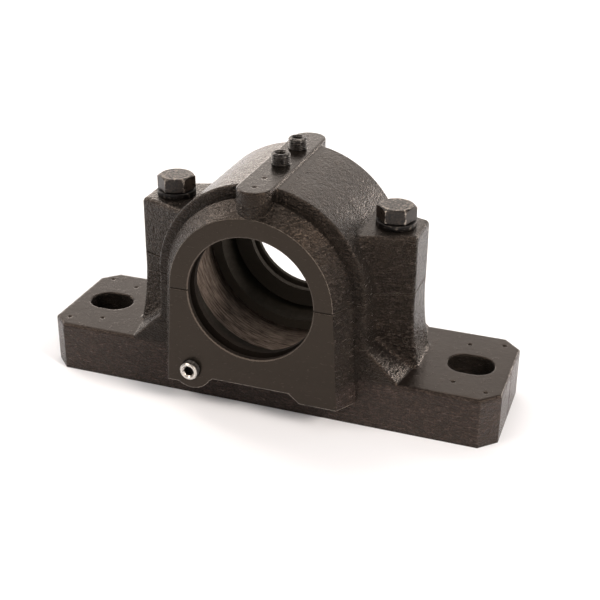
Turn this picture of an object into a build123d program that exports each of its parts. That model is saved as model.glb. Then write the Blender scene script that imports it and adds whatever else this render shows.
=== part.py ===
from build123d import *
from math import cos, hypot, radians, sin, tan
import os

os.makedirs("parts", exist_ok=True)

# A two-piece cast plummer block housing, standing empty. All sizes are in millimetres.
# The origin lies on the ground under the middle of the bore. X runs along the foot,
# Y along the bore (front face at minus Y) and Z upwards.

# Inside of the housing
seat_radius = 50.0
seat_width = 38.0
cavity_step = 6.0
opening_radius = 34.0
opening_edge_chamfer = 0.5
wall_thickness = 12.0
wall_lip = 3.0
seal_groove_width = 5.6
seal_groove_depth = 4.3

# Iron round the bearing seat, and the joint between the two castings
barrel_wall = 7.0
barrel_width = 70.0
barrel_edge_round = 1.2
floor_under_seat = 20.0
joint_chamfer = 0.45

# Hubs round the two shaft openings
hub_span = 98.8
hub_shoulder = 6.2
hub_taper = 6.6
hub_collar_step = 3.2
hub_edge_round = 0.8
hub_foot_height = 15.0
hub_draft = 3.2
hub_notch_width = 54.4
hub_notch_slant = 5.9
hub_notch_height = 5.0

# Upright body of the base
body_draft_width = 0.7
ramp_rise = 17.5
ramp_reach = 17.0
ramp_spread = 3.8
ramp_foot_round = 4.0
body_edge_round = 2.0

# Bolt towers at both ends of the barrel
bolt_offset = 4.6
tower_rise = 31.5
tower_end_wall = 14.8
tower_end_width = 25.0
tower_flank_angle = 20.7
tower_corner_round = 2.6
tower_top_round = 2.6
tower_flare = 4.0
tower_flare_middle = 0.6
tower_side_flare_share = 0.3
tower_corner_flare_share = 0.33
tower_blend_round = 4.0
tower_root_round = 1.5
root_tuck = 0.05

# Foot
foot_thickness = 28.0
foot_corner = 9.0
foot_edge_round = 2.0
foot_end = 21.5
slot_gap = 13.1
slot_width = 19.5
slot_length = 25.0
slot_edge_round = 0.8
end_mark_depth = 0.8

# Rib over the top of the cap
rib_rise = 1.0
rib_width = 18.6
rib_edge_round = 0.9
rib_root_round = 1.0

# Cap bolts and their spring washers
bolt_diameter = 12.0
bolt_length = 55.0
bolt_head_height = 8.0
bolt_head_flats = 18.0
bolt_crown_angle = 30.0
bolt_crown_share = 0.95
bolt_washer_face_height = 0.6
bolt_washer_face_diameter = 16.6
bolt_tip_chamfer = 1.0
bolt_turn_left = 18.0
bolt_turn_right = 11.0
bolt_hole_clearance = 0.75
thread_clearance = 0.05
thread_extra_depth = 4.0
washer_outer_diameter = 21.0
washer_bore_diameter = 12.5
washer_thickness = 3.0
washer_split = 1.4
washer_split_slant = 35.0
washer_edge_round = 0.4
spot_face_clearance = 0.6

# Dowel pins that keep the cap and the base in line
dowel_diameter = 5.0
dowel_length = 16.0
dowel_clearance = 0.02
dowel_end_gap = 0.5
dowel_inset = 2.0
dowel_y = 12.6
dowel_end_chamfer = 0.5

# Threaded plugs with a hexagon socket
plug_diameter = 10.0
plug_length = 13.0
lube_plug_proud = 6.0
drain_plug_proud = 4.1
plug_crown_chamfer = 0.8
plug_tip_chamfer = 0.9
plug_socket_flats = 5.0
plug_socket_depth = 4.6
plug_socket_bevel = 0.5
plug_hole_extra = 1.0
plug_front_y = -3.7
plug_rear_y = 22.0
drain_x = -33.5
drain_height = 24.0
drain_boss_radius = 11.6
drain_way_diameter = 5.0

# Small drilled marks that show where further holes may go
mark_radius = 1.3
mark_depth = 0.8
foot_mark_inner = (-5.0, 21.0)
foot_mark_outer = (13.0, 26.0)
rib_mark_inner = 22.1
rib_mark_outer = 8.8

# Cored pockets under the base
pocket_wall = 9.0
pocket_side_depth = 22.0
pocket_middle_depth = 9.0
pocket_round = 5.0
pocket_slot_wall = 9.0

# Heights and radii worked out from the sizes above
centre_height = seat_radius + floor_under_seat
bore_centre = (0, 0, centre_height)
cavity_radius = seat_radius - cavity_step
seal_groove_radius = opening_radius + seal_groove_depth
barrel_radius = seat_radius + barrel_wall
hub_root_radius = barrel_radius - hub_shoulder
hub_face_radius = hub_root_radius - hub_taper
rib_top_height = centre_height + barrel_radius + rib_rise
tower_top_height = centre_height + tower_rise
tower_middle_height = (foot_thickness + centre_height) / 2
ramp_head_height = foot_thickness + ramp_rise
washer_top_height = tower_top_height + washer_thickness
bolt_tip_height = washer_top_height - bolt_length

# Places along the foot
bolt_x = barrel_radius + bolt_offset
tower_end_reach = bolt_x + tower_end_wall
ramp_head_x = barrel_radius + body_draft_width
ramp_foot_x = ramp_head_x + ramp_reach
slot_x = tower_end_reach + tower_flare + slot_gap + slot_length / 2
half_length = slot_x + foot_end
bolt_positions = [(side * bolt_x, 0) for side in (-1, 1)]
dowel_x = bolt_x - dowel_inset
dowel_positions = [(side * dowel_x, side * dowel_y) for side in (-1, 1)]
side_pocket_inner = hub_root_radius + hub_draft - pocket_wall
side_pocket_outer = slot_x - slot_length / 2 - pocket_slot_wall

# Places along the bore
half_width = barrel_width / 2
half_span = hub_span / 2
half_seat = seat_width / 2
collar_y = half_width + hub_collar_step
wall_inner_y = half_span - wall_thickness
groove_outer_y = half_span - wall_lip
groove_inner_y = groove_outer_y - seal_groove_width
rib_marks_y = (rib_mark_inner - half_span, rib_mark_outer - half_span)
drain_end_y = -half_span + plug_length - drain_plug_proud + plug_hole_extra
pocket_depth_y = barrel_width - 2 * pocket_wall

# Slopes and small forms
flank_slope = tan(radians(tower_flank_angle))
crown_radius = bolt_crown_share * bolt_head_flats / 2
crown_slope = tan(radians(bolt_crown_angle))
washer_split_lean = tan(radians(washer_split_slant)) * washer_thickness / 2
drain_reach = hypot(drain_x, centre_height - drain_height)
mark_ball_radius = (mark_radius**2 + mark_depth**2) / (2 * mark_depth)


def tower_outline(side, growth, plane):
    """Plan of one bolt tower: a trapezium that widens towards the barrel, corners rounded.

    side is 1 for the right tower and -1 for the left one, and growth moves the end face
    outwards and widens the plan a little.
    """
    end_x = tower_end_reach + growth
    end_half = tower_end_width / 2 + tower_side_flare_share * growth
    root_x = cavity_radius + 1
    root_half = end_half + (end_x - root_x) * flank_slope
    with BuildSketch(plane) as outline:
        with BuildLine():
            Polyline(
                (side * root_x, -root_half),
                (side * end_x, -end_half),
                (side * end_x, end_half),
                (side * root_x, root_half),
                close=True,
            )
        make_face()
        outer_corners = outline.vertices().sort_by(Axis.X)
        corner_round = tower_corner_round + tower_corner_flare_share * growth
        fillet(outer_corners[-2:] if side > 0 else outer_corners[:2], corner_round)
    return outline.sketch


def upright_outline(y, foot_x):
    """Section of the upright body and its two ramps at one place along the bore.

    foot_x is where the ramps meet the foot.
    """
    with BuildSketch(Plane.XZ.offset(-y)) as outline:
        with BuildLine():
            Polyline(
                (-foot_x - ramp_foot_round, 0),
                (foot_x + ramp_foot_round, 0),
                (foot_x + ramp_foot_round, foot_thickness),
                (foot_x, foot_thickness),
                (ramp_head_x, ramp_head_height),
                (barrel_radius, centre_height),
                (-barrel_radius, centre_height),
                (-ramp_head_x, ramp_head_height),
                (-foot_x, foot_thickness),
                (-foot_x - ramp_foot_round, foot_thickness),
                close=True,
            )
        make_face()
        ramp_feet = outline.vertices().filter_by(
            lambda v: abs(abs(v.X) - foot_x) < 0.01 and v.Z > foot_thickness - 0.01
        )
        fillet(ramp_feet, ramp_foot_round)
    return outline.sketch


def inside_profile():
    """Half section of the space inside the housing, in the plane of the joint.

    It runs along Y through opening, seal groove, side cavity and bearing seat, and is
    turned about the bore line.
    """
    with BuildSketch(Plane.XY.offset(centre_height)) as profile:
        with BuildLine():
            Polyline(
                (0, -half_span - 1),
                (opening_radius + opening_edge_chamfer + 1, -half_span - 1),
                (opening_radius, -half_span + opening_edge_chamfer),
                (opening_radius, -groove_outer_y),
                (seal_groove_radius, -groove_outer_y),
                (seal_groove_radius, -groove_inner_y),
                (opening_radius, -groove_inner_y),
                (opening_radius, -wall_inner_y),
                (cavity_radius, -wall_inner_y),
                (cavity_radius, -half_seat),
                (seat_radius, -half_seat),
                (seat_radius, 0),
                (0, 0),
                close=True,
            )
        make_face()
        mirror(about=Plane.XZ)
    return profile.sketch


# Upright body of the base, as wide as the foot. The ramp on each side reaches further out
# beside the tower than at the front and back.
with BuildPart() as upright:
    loft([
        upright_outline(y, ramp_foot_x + spread).face()
        for y, spread in (
            (-half_width, 0),
            (-tower_end_width / 2, ramp_spread),
            (tower_end_width / 2, ramp_spread),
            (half_width, 0),
        )
    ], ruled=True)
    rim_edges = (
        upright.faces().filter_by(Axis.Y).edges()
        .filter_by(lambda e: foot_thickness - 1 < e.center().Z < centre_height - 1)
    )
    fillet(rim_edges, body_edge_round)

# Lower half of the front hub: a straight collar, then a face that narrows all round
with BuildPart() as base_hub:
    with BuildSketch(Plane.XZ.offset(half_width - 5)):
        with BuildLine():
            Polyline(
                (hub_root_radius, centre_height),
                (-hub_root_radius, centre_height),
                (-hub_root_radius - hub_draft, hub_foot_height),
                (hub_root_radius + hub_draft, hub_foot_height),
                close=True,
            )
        make_face()
    extrude(amount=collar_y - half_width + 5)
    with BuildSketch(Plane.XZ.offset(collar_y)):
        with BuildLine():
            Polyline(
                (hub_root_radius, centre_height),
                (-hub_root_radius, centre_height),
                (-hub_root_radius - hub_draft, hub_foot_height),
                (hub_root_radius + hub_draft, hub_foot_height),
                close=True,
            )
        make_face()
    with BuildSketch(Plane.XZ.offset(half_span)):
        with BuildLine():
            Polyline(
                (hub_face_radius, centre_height),
                (-hub_face_radius, centre_height),
                (-hub_face_radius - hub_draft, hub_foot_height),
                (hub_face_radius + hub_draft, hub_foot_height),
                close=True,
            )
        make_face()
    loft(ruled=True)
    # Notch in the lower edge
    with BuildSketch(Plane.XZ.offset(half_width)):
        with BuildLine():
            Polyline(
                (-hub_notch_width / 2, hub_foot_height),
                (hub_notch_slant - hub_notch_width / 2, hub_foot_height + hub_notch_height),
                (hub_notch_width / 2 - hub_notch_slant, hub_foot_height + hub_notch_height),
                (hub_notch_width / 2, hub_foot_height),
                (hub_notch_width / 2, hub_foot_height - 1),
                (-hub_notch_width / 2, hub_foot_height - 1),
                close=True,
            )
        make_face()
    extrude(amount=half_span - half_width, mode=Mode.SUBTRACT)
    face_edges = (
        base_hub.faces().sort_by(Axis.Y)[0].edges()
        .filter_by(lambda e: abs(e.center().X) > hub_face_radius - 1)
    )
    fillet(face_edges, hub_edge_round)

# Hollow round the foot of each tower: rise above the foot, and how far the tower grows there
root_steps = []
for step_angle in (0, 30, 60, 90):
    rise = tower_root_round * (1 - cos(radians(step_angle)))
    share = rise / (centre_height - foot_thickness)
    flare = (
        tower_flare
        + share * (4 * tower_flare_middle - 3 * tower_flare)
        + share**2 * (2 * tower_flare - 4 * tower_flare_middle)
    )
    hollow = tower_root_round * (1 - sin(radians(step_angle)))
    root_steps.append((rise, flare + hollow - root_tuck * step_angle / 90))

with BuildPart() as base:
    # Foot plate with cut corners and rounded upper edges
    with BuildSketch():
        Rectangle(2 * half_length, barrel_width)
        chamfer(vertices(), foot_corner)
    extrude(amount=foot_thickness)
    fillet(base.faces().sort_by(Axis.Z)[-1].edges(), foot_edge_round)
    # Lower parts of the bolt towers, flaring into the foot
    for side in (-1, 1):
        loft([
            tower_outline(side, tower_flare, Plane.XY.offset(foot_thickness)).face(),
            tower_outline(side, tower_flare_middle, Plane.XY.offset(tower_middle_height)).face(),
            tower_outline(side, 0, Plane.XY.offset(centre_height)).face(),
        ])
    add(upright.part)
    # Soft hollows where the towers leave the upright body and its ramps
    tower_seams = (
        base.edges()
        .filter_by(lambda e: barrel_radius - 1 < abs(e.center().X) < ramp_foot_x + 1
                   and abs(e.center().Y) < half_width - 8
                   and foot_thickness + 1 < e.center().Z < centre_height - 1)
    )
    fillet(tower_seams, tower_blend_round)
    for side in (-1, 1):
        loft([
            tower_outline(side, growth, Plane.XY.offset(foot_thickness + rise)).face()
            for rise, growth in root_steps
        ])
    add(base_hub.part)
    mirror(base_hub.part, about=Plane.XZ)
    # Boss round the drain hole, level with the hub face
    with BuildSketch(Plane.XZ.offset(half_width - 2)):
        with Locations((drain_x, drain_height)):
            Circle(drain_boss_radius)
    extrude(amount=half_span - half_width + 2)
    # Fine bevel round the outside of the joint, but not across the turned hub faces
    base_joint_edges = (
        base.faces().sort_by(Axis.Z)[-1].edges()
        .filter_by(lambda e: abs(e.center().Y) < half_span - 0.01)
    )
    chamfer(base_joint_edges, joint_chamfer)
    # Space for the bearing, the shaft and the seals
    revolve(inside_profile(), axis=Axis(bore_centre, (0, 1, 0)), mode=Mode.SUBTRACT)
    # Slots for the foot bolts
    with BuildSketch():
        with Locations((-slot_x, 0), (slot_x, 0)):
            SlotOverall(slot_length, slot_width)
    extrude(amount=foot_thickness, mode=Mode.SUBTRACT)
    # Tapped holes for the cap bolts, and holes for the dowel pins
    with BuildSketch(Plane.XY.offset(centre_height)):
        with Locations(bolt_positions):
            Circle(bolt_diameter / 2 + thread_clearance)
    extrude(amount=bolt_tip_height - thread_extra_depth - centre_height, mode=Mode.SUBTRACT)
    with BuildSketch(Plane.XY.offset(centre_height)):
        with Locations(dowel_positions):
            Circle(dowel_diameter / 2 + dowel_clearance)
    extrude(amount=-dowel_length / 2 - dowel_end_gap, mode=Mode.SUBTRACT)
    # Tapped hole for the drain plug, with a slanting way up into the front side cavity
    with BuildSketch(Plane.XZ.offset(half_span)):
        with Locations((drain_x, drain_height)):
            Circle(plug_diameter / 2 + thread_clearance)
    extrude(amount=-(plug_length - drain_plug_proud + plug_hole_extra), mode=Mode.SUBTRACT)
    drain_way_start = Vector(drain_x, drain_end_y, drain_height)
    drain_way_end = Vector(
        cavity_radius * drain_x / drain_reach,
        -(wall_inner_y + half_seat) / 2,
        centre_height - cavity_radius * (centre_height - drain_height) / drain_reach,
    )
    drain_way_plane = Plane(origin=drain_way_start, z_dir=drain_way_end - drain_way_start)
    with BuildSketch(drain_way_plane):
        Circle(drain_way_diameter / 2)
    extrude(amount=(drain_way_end - drain_way_start).length, mode=Mode.SUBTRACT)
    # Cored pockets under the foot, one below each tower and a shallow one in the middle
    with BuildSketch():
        with Locations(
            (-(side_pocket_inner + side_pocket_outer) / 2, 0),
            ((side_pocket_inner + side_pocket_outer) / 2, 0),
        ):
            RectangleRounded(side_pocket_outer - side_pocket_inner, pocket_depth_y, pocket_round)
    extrude(amount=pocket_side_depth, mode=Mode.SUBTRACT)
    with BuildSketch():
        RectangleRounded(2 * (side_pocket_inner - pocket_wall), pocket_depth_y, pocket_round)
    extrude(amount=pocket_middle_depth, mode=Mode.SUBTRACT)

    # Rounded mouths of the slots and small drilled marks round them
    slot_mouth = (
        base.edges().filter_by_position(Axis.Z, foot_thickness - 0.01, foot_thickness + 0.01)
        .filter_by(lambda e: abs(abs(e.center().X) - slot_x) <= slot_length / 2
                   and abs(e.center().Y) <= slot_width / 2)
    )
    fillet(slot_mouth, slot_edge_round)
    mark_places = [
        (side_x * (slot_x + place[0]), side_y * place[1], foot_thickness + mark_ball_radius - mark_depth)
        for place in (foot_mark_inner, foot_mark_outer)
        for side_x in (-1, 1)
        for side_y in (-1, 1)
    ]
    with Locations(mark_places):
        Sphere(mark_ball_radius, mode=Mode.SUBTRACT)
    # Upright notches that mark the middle of both end faces
    with BuildSketch():
        with BuildLine():
            Polyline(
                (half_length - end_mark_depth, 0),
                (half_length + end_mark_depth, 2 * end_mark_depth),
                (half_length + end_mark_depth, -2 * end_mark_depth),
                close=True,
            )
        make_face()
        mirror(about=Plane.YZ)
    extrude(amount=foot_thickness, mode=Mode.SUBTRACT)

base.part.label = "base"
export_step(base.part, "parts/base.step")

# One bolt tower of the cap, straight sided, its upper edges well rounded
with BuildPart() as cap_tower:
    with BuildSketch(Plane.XY.offset(centre_height)):
        add(tower_outline(1, 0, Plane.XY))
    extrude(amount=tower_top_height - centre_height)
    tower_top_edges = (
        cap_tower.faces().sort_by(Axis.Z)[-1].edges()
        .filter_by(lambda e: e.center().X > seat_radius)
    )
    fillet(tower_top_edges, tower_top_round)

with BuildPart() as cap:
    # Barrel, collars and hubs as one half turn about the bore line
    with BuildSketch(Plane.XY.offset(centre_height)) as cap_section:
        with BuildLine():
            Polyline(
                (0, 0),
                (0, -half_span),
                (hub_face_radius, -half_span),
                (hub_root_radius, -collar_y),
                (hub_root_radius, -half_width),
                (barrel_radius, -half_width),
                (barrel_radius, 0),
                close=True,
            )
        make_face()
        rim = cap_section.vertices().sort_by(Axis.X)
        fillet(rim.filter_by(lambda v: v.X > hub_root_radius + 1 and v.Y < -1), barrel_edge_round)
        mirror(about=Plane.XZ)
    revolve(axis=Axis(bore_centre, (0, -1, 0)), revolution_arc=180)
    # Bolt towers, blended into the barrel
    add(cap_tower.part)
    mirror(cap_tower.part, about=Plane.YZ)
    barrel_seams = (
        cap.edges()
        .filter_by(lambda e: abs(hypot(e.center().X, e.center().Z - centre_height) - barrel_radius) < 0.6
                   and abs(e.center().Y) < half_width - 2 and e.center().Z > centre_height + 5
                   and abs(e.center().X) > bolt_x - bolt_head_flats)
    )
    fillet(barrel_seams, tower_blend_round)
    # Rib along the top, its ends half round
    with BuildSketch(Plane(origin=(0, 0, rib_top_height), x_dir=(0, 1, 0), z_dir=(0, 0, 1))):
        SlotOverall(hub_span, rib_width)
    extrude(amount=-(rib_top_height - centre_height - opening_radius))
    fillet(cap.faces().sort_by(Axis.Z)[-1].edges(), rib_edge_round)
    rib_roots = (
        cap.edges()
        .filter_by(lambda e: abs(abs(e.center().X) - rib_width / 2) < 0.05
                   and abs(hypot(e.center().X, e.center().Z - centre_height) - barrel_radius) < 0.1
                   and abs(e.center().Y) < 5)
    )
    fillet(rib_roots, rib_root_round)
    # Fine bevel round the outside of the joint, but not across the turned hub faces
    cap_joint_edges = (
        cap.faces().sort_by(Axis.Z)[0].edges()
        .filter_by(lambda e: abs(e.center().Y) < half_span - 0.01)
    )
    chamfer(cap_joint_edges, joint_chamfer)
    # Space for the bearing, the shaft and the seals
    revolve(inside_profile(), axis=Axis(bore_centre, (0, 1, 0)), mode=Mode.SUBTRACT)
    # Spot faces for the washers, where the barrel would stand in their way
    with BuildSketch(Plane.XY.offset(tower_top_height)):
        with Locations(bolt_positions):
            Circle(washer_outer_diameter / 2 + spot_face_clearance)
    extrude(amount=barrel_radius, mode=Mode.SUBTRACT)
    # Clearance holes for the cap bolts, and holes for the dowel pins
    with BuildSketch(Plane.XY.offset(centre_height)):
        with Locations(bolt_positions):
            Circle(bolt_diameter / 2 + bolt_hole_clearance)
    extrude(amount=tower_top_height - centre_height, mode=Mode.SUBTRACT)
    with BuildSketch(Plane.XY.offset(centre_height)):
        with Locations(dowel_positions):
            Circle(dowel_diameter / 2 + dowel_clearance)
    extrude(amount=dowel_length / 2 + dowel_end_gap, mode=Mode.SUBTRACT)
    # Tapped holes for the two plugs, through the rib into the space inside
    with BuildSketch(Plane.XY.offset(rib_top_height)):
        with Locations((0, plug_front_y), (0, plug_rear_y)):
            Circle(plug_diameter / 2 + thread_clearance)
    extrude(amount=-(rib_top_height - centre_height - cavity_radius + plug_hole_extra), mode=Mode.SUBTRACT)
    # Small drilled marks on the rib
    with Locations([(0, mark_y, rib_top_height + mark_ball_radius - mark_depth) for mark_y in rib_marks_y]):
        Sphere(mark_ball_radius, mode=Mode.SUBTRACT)
cap.part.label = "cap"
export_step(cap.part, "parts/cap.step")

for name, side, turn in (("left", -1, bolt_turn_left), ("right", 1, bolt_turn_right)):
    # Cap bolt: hexagon head with a turned crown and a washer face, over a plain round shank
    head_plane = Plane(origin=(side * bolt_x, 0, washer_top_height))
    with BuildPart() as cap_bolt:
        with BuildSketch(head_plane.offset(bolt_washer_face_height)):
            RegularPolygon(bolt_head_flats / 2, 6, major_radius=False, rotation=turn)
        extrude(amount=bolt_head_height - bolt_washer_face_height)
        with BuildSketch(Plane(origin=head_plane.origin, x_dir=(1, 0, 0), z_dir=(0, -1, 0))):
            with BuildLine():
                Polyline(
                    (0, 0),
                    (bolt_head_flats, 0),
                    (bolt_head_flats, bolt_head_height - (bolt_head_flats - crown_radius) * crown_slope),
                    (crown_radius, bolt_head_height),
                    (0, bolt_head_height),
                    close=True,
                )
            make_face()
        revolve(axis=Axis(head_plane.origin, (0, 0, 1)), mode=Mode.INTERSECT)
        with BuildSketch(head_plane):
            Circle(bolt_washer_face_diameter / 2)
        extrude(amount=bolt_washer_face_height)
        with BuildSketch(head_plane):
            Circle(bolt_diameter / 2)
        extrude(amount=-bolt_length)
        chamfer(cap_bolt.faces().sort_by(Axis.Z)[0].edges(), bolt_tip_chamfer)
    cap_bolt.part.label = f"cap_bolt_{name}"
    export_step(cap_bolt.part, f"parts/cap_bolt_{name}.step")

    # Spring washer: a flattened ring of square section, split on a slant at its back
    washer_plane = Plane(origin=(side * bolt_x, 0, tower_top_height))
    with BuildPart() as spring_washer:
        with BuildSketch(washer_plane):
            Circle(washer_outer_diameter / 2)
            Circle(washer_bore_diameter / 2, mode=Mode.SUBTRACT)
        extrude(amount=washer_thickness)
        outer_rims = (
            spring_washer.edges().filter_by(GeomType.CIRCLE)
            .filter_by(lambda e: e.radius > washer_outer_diameter / 2 - 0.1)
        )
        fillet(outer_rims, washer_edge_round)
        with BuildSketch(Plane(origin=washer_plane.origin, x_dir=(-1, 0, 0), z_dir=(0, 1, 0))):
            with BuildLine():
                Polyline(
                    (-washer_split / 2 - washer_split_lean, 0),
                    (washer_split / 2 - washer_split_lean, 0),
                    (washer_split / 2 + washer_split_lean, washer_thickness),
                    (-washer_split / 2 + washer_split_lean, washer_thickness),
                    close=True,
                )
            make_face()
        extrude(amount=washer_outer_diameter / 2 + 1, mode=Mode.SUBTRACT)
    spring_washer.part.label = f"spring_washer_{name}"
    export_step(spring_washer.part, f"parts/spring_washer_{name}.step")

    # Dowel pin, half in the base and half in the cap
    with BuildPart() as dowel_pin:
        with BuildSketch(Plane(origin=(side * dowel_x, side * dowel_y, centre_height))):
            Circle(dowel_diameter / 2)
        extrude(amount=dowel_length / 2, both=True)
        chamfer(dowel_pin.edges().filter_by(GeomType.CIRCLE), dowel_end_chamfer)
    dowel_pin.part.label = f"dowel_pin_{name}"
    export_step(dowel_pin.part, f"parts/dowel_pin_{name}.step")

plug_planes = {
    "lube_plug_front": Plane(origin=(0, plug_front_y, rib_top_height + lube_plug_proud)),
    "lube_plug_rear": Plane(origin=(0, plug_rear_y, rib_top_height + lube_plug_proud)),
    "drain_plug": Plane(
        origin=(drain_x, -half_span - drain_plug_proud, drain_height), x_dir=(1, 0, 0), z_dir=(0, -1, 0)
    ),
}
for name, plug_plane in plug_planes.items():
    # Headless plug with bevelled ends and a hexagon socket, its mouth opened by a cone
    with BuildPart() as plug:
        with BuildSketch(plug_plane):
            Circle(plug_diameter / 2)
        extrude(amount=-plug_length)
        plug_ends = plug.faces().filter_by(GeomType.PLANE).sort_by(Axis(plug_plane.origin, plug_plane.z_dir))
        chamfer(plug_ends[-1].edges(), plug_crown_chamfer)
        chamfer(plug_ends[0].edges(), plug_tip_chamfer)
        with BuildSketch(plug_plane):
            RegularPolygon(plug_socket_flats / 2, 6, major_radius=False)
        extrude(amount=-plug_socket_depth, mode=Mode.SUBTRACT)
        with BuildSketch(plug_plane):
            Circle(plug_socket_flats / 2 + 2 * plug_socket_bevel)
        extrude(amount=-2 * plug_socket_bevel, taper=45, mode=Mode.SUBTRACT)
    plug.part.label = name
    export_step(plug.part, f"parts/{name}.step")
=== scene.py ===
"""Looks of an empty split plummer block: painted sand-cast halves, steel bolts, washers and plugs.

Sizes in the classes are millimetres in the row frame, but the studio's are metres. Meshes are
written in metres. The two castings keep their CAD meshes and get a paint over cast iron. The bolts,
washers and plugs are new surfaces with turned, threaded and hexagonal detail, each on the place of
its CAD node.
"""

import logging
import math
from dataclasses import dataclass
from enum import Enum

import bpy
import numpy as np
from mathutils import Matrix, Vector


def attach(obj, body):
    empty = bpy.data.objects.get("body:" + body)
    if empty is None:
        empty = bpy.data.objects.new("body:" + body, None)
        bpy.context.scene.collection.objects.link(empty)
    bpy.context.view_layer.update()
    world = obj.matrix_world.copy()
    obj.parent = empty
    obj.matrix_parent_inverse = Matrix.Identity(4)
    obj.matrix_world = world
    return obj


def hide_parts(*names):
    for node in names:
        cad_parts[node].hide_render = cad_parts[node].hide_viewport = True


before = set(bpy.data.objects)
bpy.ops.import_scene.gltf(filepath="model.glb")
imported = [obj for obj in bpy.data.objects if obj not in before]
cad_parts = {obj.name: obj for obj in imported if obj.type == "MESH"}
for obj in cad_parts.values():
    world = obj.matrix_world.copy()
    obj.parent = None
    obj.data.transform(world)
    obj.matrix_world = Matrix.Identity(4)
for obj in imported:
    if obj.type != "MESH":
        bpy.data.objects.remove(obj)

log = logging.getLogger("plummer_block")
MM = 0.001
MATH, NOISE, MIX = "ShaderNodeMath", "ShaderNodeTexNoise", "ShaderNodeMix"

# Radius, height along the axis and wear of one loop round an axis
Loop = tuple[float | np.ndarray, float | np.ndarray, float | np.ndarray]


class Slot(Enum):
    """Material slots of the record."""

    CASTING = "casting_paint"
    BOLT = "dark_steel"
    WASHER = "spring_steel"
    DOWEL = "ground_steel"
    PLUG = "bright_steel"


def linear(hex_code: str) -> tuple[float, float, float, float]:
    """Turn an sRGB hex colour into linear red, green, blue and alpha.

    Args:
        hex_code: Six hex digits, with or without a leading hash sign.

    Returns:
        Linear values from 0 to 1, alpha 1. Below 0.04045 a value is divided by 12.92, above it
        the curve ((v + 0.055) / 1.055) to the power 2.4 holds.
    """
    digits = hex_code.lstrip("#")
    values = np.array([int(digits[i : i + 2], 16) for i in (0, 2, 4)]) / 255.0
    curved = np.where(values <= 0.04045, values / 12.92, ((values + 0.055) / 1.055) ** 2.4)
    return (float(curved[0]), float(curved[1]), float(curved[2]), 1.0)


def add_node(
    tree: bpy.types.NodeTree, kind: str, inputs: dict | None = None, **settings
) -> bpy.types.Node:
    """Add one node with its settings, values and links.

    Args:
        tree: Node tree that the node goes into.
        kind: Blender's name of the node type.
        inputs: Socket name or number to a plain value, or to the output socket that feeds it.
        settings: Properties of the node itself.

    Returns:
        The new node.
    """
    made = tree.nodes.new(kind)
    for name, value in settings.items():
        setattr(made, name, value)
    for key, value in (inputs or {}).items():
        if isinstance(value, bpy.types.NodeSocket):
            tree.links.new(value, made.inputs[key])
        else:
            made.inputs[key].default_value = value
    return made


def new_material(name: str) -> tuple[bpy.types.Material, bpy.types.NodeTree, bpy.types.Node]:
    """Make an empty node material.

    Args:
        name: Name of the material.

    Returns:
        The material, its node tree and its shader node, which is linked to the output.
    """
    material = bpy.data.materials.new(name)
    material.use_nodes = True
    tree = material.node_tree
    tree.nodes.clear()
    shader = add_node(tree, "ShaderNodeBsdfPrincipled")
    add_node(tree, "ShaderNodeOutputMaterial", {"Surface": shader.outputs["BSDF"]})
    return material, tree, shader


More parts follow.
